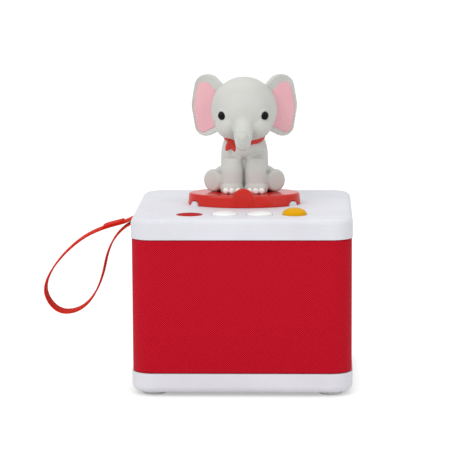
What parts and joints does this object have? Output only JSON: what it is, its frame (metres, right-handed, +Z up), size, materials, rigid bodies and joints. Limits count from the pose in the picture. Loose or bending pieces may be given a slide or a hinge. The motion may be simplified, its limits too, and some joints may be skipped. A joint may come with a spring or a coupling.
{
  "type": "audio story player",
  "caption": "Child's story player: a fabric-banded speaker box with a white lid and base, a carrying strap, four buttons and a lift-off elephant figure.",
  "frame": {"origin": "centre of the square that the four rubber feet make on the surface they stand on", "axes": "+Z up, -Y out of the front, with the buttons nearest the front edge; the strap is on -X and the sockets on +Y"},
  "size_m": [0.1728, 0.12, 0.1691],
  "materials": {
    "white_shell": "smooth moulded ABS",
    "white_button": "smooth moulded ABS",
    "red_button": "smooth moulded ABS",
    "yellow_button": "smooth moulded ABS",
    "red_weave": "woven polyester",
    "strap_red": "moulded TPU band",
    "foot_rubber": "soft rubber",
    "frame_plastic": "moulded ABS",
    "steel": "zinc plated",
    "black_plastic": "moulded nylon",
    "board_green": "solder mask",
    "copper": "copper track",
    "magnet_nickel": "nickel plated",
    "ferrite": "sintered ferrite",
    "cone_paper": "pressed paper",
    "surround_rubber": "rubber roll",
    "cell_sleeve": "shrink sleeve",
    "ribbon_white": "flat cable",
    "lead_black": "wire insulation",
    "lead_red": "wire insulation",
    "disc_red": "smooth moulded ABS",
    "figure_grey": "soft PVC",
    "ear_pink": "painted PVC",
    "eye_black": "gloss paint",
    "nail_ivory": "painted PVC",
    "kerchief_red": "painted PVC"
  },
  "bodies": {
    "case": {"top_cover": "white_shell", "base_cover": "white_shell", "grille_frame": "frame_plastic", "fabric_sleeve": "red_weave", "rubber_feet": "foot_rubber", "seat_keys": "white_shell", "base_screws": "steel", "cover_screws": "steel", "strap_pin": "steel", "tact_switches": "black_plastic", "button_board": "board_green", "board_screws": "steel", "reader_board": "board_green", "antenna_coil": "copper", "reader_screws": "steel", "seat_magnet": "magnet_nickel", "main_board": "board_green", "main_board_screws": "steel", "board_chips": "black_plastic", "board_capacitors": "black_plastic", "usb_socket": "steel", "headphone_jack": "black_plastic", "speaker_basket": "steel", "speaker_surround": "surround_rubber", "speaker_cone": "cone_paper", "dust_cap": "cone_paper", "voice_coil": "copper", "speaker_top_plate": "steel", "speaker_magnet": "ferrite", "speaker_yoke": "steel", "speaker_screws": "steel", "battery_cell": "cell_sleeve", "battery_holder": "black_plastic", "battery_contacts": "magnet_nickel", "button_ribbon": "ribbon_white", "reader_ribbon": "ribbon_white", "speaker_leads": "lead_red", "battery_leads": "lead_black"},
    "figure": {"figure_disc": "disc_red", "disc_plate": "disc_red", "figure_screws": "steel", "figure_magnet": "magnet_nickel", "figure_tag": "copper", "elephant_body": "figure_grey", "elephant_head": "figure_grey", "elephant_ears": "figure_grey", "ear_linings": "ear_pink", "elephant_eyes": "eye_black", "elephant_toenails": "nail_ivory", "elephant_tail": "figure_grey", "neckerchief": "kerchief_red"},
    "strap_loop": {"strap": "strap_red"},
    "power_key": {"power_button": "red_button", "power_plunger": "black_plastic"},
    "volume_down_key": {"volume_down_button": "white_button", "volume_down_plunger": "black_plastic"},
    "volume_up_key": {"volume_up_button": "white_button", "volume_up_plunger": "black_plastic"},
    "play_key": {"play_button": "yellow_button", "play_plunger": "black_plastic"}
  },
  "joints": [
    {"name": "power_press", "type": "slide", "parent": "case", "child": "power_key", "axis": [0, 0, -1], "range_m": [0, 0.0008], "stiffness_N_per_m": 800, "springref_m": -0.0006},
    {"name": "volume_down_press", "type": "slide", "parent": "case", "child": "volume_down_key", "axis": [0, 0, -1], "range_m": [0, 0.0008], "stiffness_N_per_m": 800, "springref_m": -0.0006},
    {"name": "volume_up_press", "type": "slide", "parent": "case", "child": "volume_up_key", "axis": [0, 0, -1], "range_m": [0, 0.0008], "stiffness_N_per_m": 800, "springref_m": -0.0006},
    {"name": "play_press", "type": "slide", "parent": "case", "child": "play_key", "axis": [0, 0, -1], "range_m": [0, 0.0008], "stiffness_N_per_m": 800, "springref_m": -0.0006},
    {"name": "strap_swing", "type": "hinge", "parent": "case", "child": "strap_loop", "pos_m": [-0.0582, 0, 0.0904], "axis": [0, 1, 0], "range_deg": [-15, 45]},
    {"name": "figure_lift", "type": "slide", "parent": "case", "child": "figure", "axis": [0, 0, 1], "range_m": [0, 0.03]}
  ]
}
